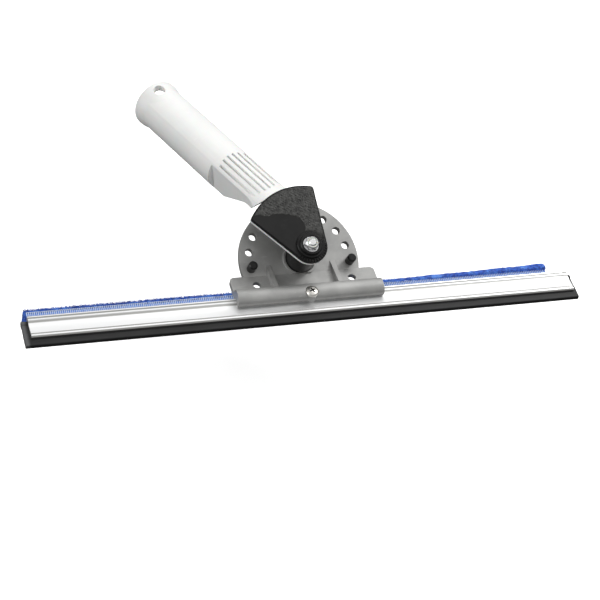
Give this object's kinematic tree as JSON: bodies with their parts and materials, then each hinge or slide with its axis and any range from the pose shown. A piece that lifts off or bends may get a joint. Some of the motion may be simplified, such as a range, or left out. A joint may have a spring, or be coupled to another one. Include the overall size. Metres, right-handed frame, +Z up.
{
  "type": "window cleaning squeegee",
  "caption": "Swivel-head window squeegee: white grip handle with pole socket, black fan cover, grey indexed bracket, long aluminium channel with black rubber and a blue scrubbing pad behind.",
  "frame": {"origin": "on the surface the tool lies on, at the middle of its bounding box", "axes": "+X along the blade, +Y from the blade's edge towards the grip, +Z up from the pad the tool lies on to the pivot nut"},
  "size_m": [0.356, 0.1993, 0.055],
  "materials": {
    "grey_plastic": "moulded, satin",
    "aluminium": "bright extruded",
    "rubber": "matt",
    "steel": "bright plated",
    "carrier_plastic": "moulded",
    "hook_tape": "hook tape",
    "loop_backing": "knitted loop backing",
    "pile": "microfibre pile",
    "binding": "stitched binding",
    "bush": "turned",
    "black_plastic": "moulded, satin",
    "nylon": "nylon",
    "white_plastic": "moulded, satin",
    "black_cover": "textured moulding"
  },
  "bodies": {
    "head": {"bracket": "grey_plastic", "blade_channel": "aluminium", "rubber_blade": "rubber", "clamp_screw": "steel", "clamp_nut": "steel", "pad_carrier": "carrier_plastic", "hook_tape": "hook_tape", "loop_backing": "loop_backing", "scrubbing_pile": "pile", "pad_binding": "binding", "pivot_bolt": "steel", "rear_washer": "steel", "pivot_bush": "bush", "friction_washer": "carrier_plastic", "cup_washer": "black_plastic", "nut_washer": "steel", "lock_nut": "steel", "nut_insert": "nylon"},
    "handle": {"handle_shell": "white_plastic", "handle_cover": "black_cover", "swivel_boss": "black_plastic"},
    "left_plug": {"left_stop": "black_plastic"},
    "right_plug": {"right_stop": "black_plastic"}
  },
  "joints": [
    {"name": "handle_swivel", "type": "hinge", "parent": "head", "child": "handle", "pos_m": [0.001, -0.05473, 0.0172], "axis": [0, -0.3746, 0.9272], "range_deg": [-105.2, 58.2]},
    {"name": "left_stop_pull", "type": "slide", "parent": "head", "child": "left_plug", "axis": [0, -0.3746, 0.9272], "range_m": [0, 0.006]},
    {"name": "right_stop_pull", "type": "slide", "parent": "head", "child": "right_plug", "axis": [0, -0.3746, 0.9272], "range_m": [0, 0.006]}
  ]
}
